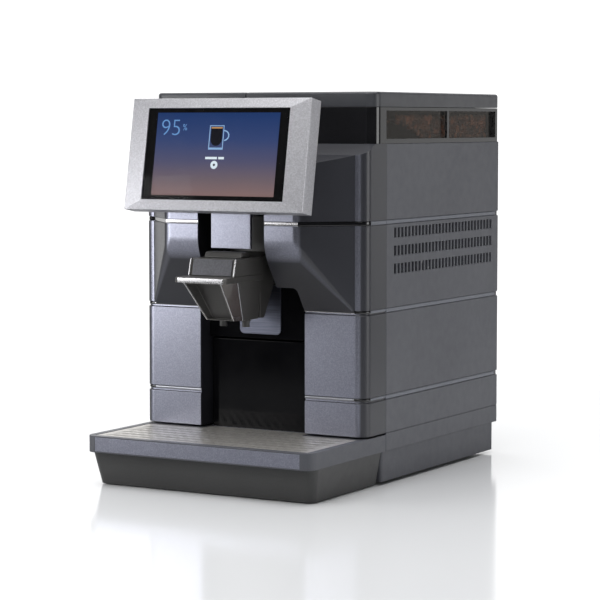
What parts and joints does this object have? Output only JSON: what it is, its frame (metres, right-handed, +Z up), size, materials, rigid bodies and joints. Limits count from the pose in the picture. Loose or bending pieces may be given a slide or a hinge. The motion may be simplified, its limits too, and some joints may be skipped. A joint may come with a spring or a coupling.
{
  "type": "bean-to-cup coffee machine",
  "caption": "Countertop bean-to-cup hot coffee machine with tilted touch display, height-adjustable spout, cup bay, slide-out drip tray and smoked bean hopper.",
  "frame": {"origin": "middle of the overall footprint, on the worktop under the feet", "axes": "+Z up, -Y towards the user (display and drip tray), +X to the user's right"},
  "size_m": [0.29, 0.462, 0.438],
  "materials": {
    "dark_plastic": "fine satin grain",
    "foot_rubber": "matte",
    "charcoal_plastic": "satin, fine spark grain",
    "front_metallic": "satin blue-grey metallic with fine grain",
    "gloss_black": "polished",
    "satin_steel": "satin",
    "smoked_pane": "smoked, clear",
    "smoked_hopper": "smoked, clear",
    "roasted_bean": "roasted coffee beans, slight oil sheen",
    "bright_steel": "ground steel",
    "clear_tank": "clear",
    "silver_frame": "silver with fine grain",
    "black_glass": "polished dark cover glass",
    "lit_screen": "lit panel",
    "bright_trim": "polished",
    "plated_sheet": "zinc plated",
    "cast_alloy": "cast",
    "burr_steel": "ground",
    "motor_case": "black lacquer",
    "white_plastic": "moulded",
    "brass_chamber": "machined",
    "boiler_steel": "satin",
    "pump_body": "lacquered coil and plastic",
    "switch_red": "moulded"
  },
  "bodies": {
    "cabinet": {"base_pan": "dark_plastic", "feet": "foot_rubber", "base_frame": "charcoal_plastic", "side_panel_left": "charcoal_plastic", "side_panel_right": "charcoal_plastic", "rear_panel": "charcoal_plastic", "upper_front_cover": "front_metallic", "pillar_cover_left": "front_metallic", "pillar_cover_right": "front_metallic", "bay_back_panel": "gloss_black", "bay_liner": "dark_plastic", "splash_plate": "satin_steel", "slot_liner": "dark_plastic", "guide_strip": "front_metallic", "top_collar": "gloss_black", "window_panes": "smoked_pane", "bean_hopper": "smoked_hopper", "coffee_beans": "roasted_bean", "hopper_lid_pin": "bright_steel", "tank_seat": "dark_plastic", "display_housing": "silver_frame", "display_bezel": "silver_frame", "display_glass": "black_glass", "display_panel": "lit_screen", "display_bracket": "dark_plastic", "chassis_floor": "plated_sheet", "corner_posts": "plated_sheet", "container_walls": "plated_sheet", "shelf": "plated_sheet", "grinder_housing": "cast_alloy", "upper_burr": "burr_steel", "grinder_motor": "motor_case", "brew_frame": "white_plastic", "brew_chamber": "brass_chamber", "boiler": "boiler_steel", "pump": "pump_body", "mains_inlet": "dark_plastic", "fan_frame": "dark_plastic"},
    "tray": {"tray_tub": "charcoal_plastic", "tray_rim": "charcoal_plastic", "tray_fascia": "front_metallic", "grounds_container": "gloss_black"},
    "grid": {"cup_grid": "satin_steel"},
    "tank": {"water_tank": "clear_tank", "tank_lid_pin": "bright_steel"},
    "tank_cover": {"tank_lid": "charcoal_plastic"},
    "hopper_cover": {"hopper_lid": "charcoal_plastic"},
    "spout": {"spout_block": "dark_plastic", "spout_plate": "front_metallic", "spout_collar": "dark_plastic", "spout_trim": "bright_trim", "spout_funnel": "dark_plastic", "nozzles": "dark_plastic", "spout_hood": "dark_plastic", "spout_carriage": "dark_plastic"},
    "burr": {"lower_burr": "burr_steel"},
    "screw": {"lead_screw": "bright_steel"},
    "piston": {"piston_carriage": "white_plastic"},
    "rocker": {"switch_rocker": "switch_red"},
    "fan": {"fan_rotor": "dark_plastic"}
  },
  "joints": [
    {"name": "tray_slide", "type": "slide", "parent": "cabinet", "child": "tray", "axis": [0, -1, 0], "range_m": [0, 0.16]},
    {"name": "grid_lift", "type": "slide", "parent": "tray", "child": "grid", "axis": [0, 0, 1], "range_m": [0, 0.03]},
    {"name": "tank_lift", "type": "slide", "parent": "cabinet", "child": "tank", "axis": [0, 0, 1], "range_m": [0, 0.2]},
    {"name": "tank_lid_hinge", "type": "hinge", "parent": "tank", "child": "tank_cover", "pos_m": [-0.083, 0.224, 0.428], "axis": [-1, 0, 0], "range_deg": [0, 80]},
    {"name": "hopper_lid_hinge", "type": "hinge", "parent": "cabinet", "child": "hopper_cover", "pos_m": [0.062, 0.224, 0.428], "axis": [-1, 0, 0], "range_deg": [0, 80]},
    {"name": "spout_slide", "type": "slide", "parent": "cabinet", "child": "spout", "axis": [0, 0, 1], "range_m": [-0.05, 0]},
    {"name": "burr_spin", "type": "hinge", "parent": "cabinet", "child": "burr", "pos_m": [0.062, 0.106, 0.29], "axis": [0, 0, 1], "continuous": true},
    {"name": "fan_spin", "type": "hinge", "parent": "cabinet", "child": "fan", "pos_m": [0.06, 0.216, 0.25], "axis": [0, 1, 0], "continuous": true},
    {"name": "screw_turn", "type": "hinge", "parent": "cabinet", "child": "screw", "pos_m": [-0.028, 0.03, 0.22], "axis": [0, 0, 1], "range_deg": [0, 541]},
    {"name": "piston_press", "type": "slide", "parent": "cabinet", "child": "piston", "axis": [0, 0, -1], "range_m": [0, 0.018]},
    {"name": "switch_rock", "type": "hinge", "parent": "cabinet", "child": "rocker", "pos_m": [0.06, 0.227, 0.088], "axis": [1, 0, 0], "range_deg": [-8, 8]}
  ],
  "couplings": [
    {"joint": "screw_turn", "follows": "piston_press", "rad_per_m": 523.6}
  ]
}
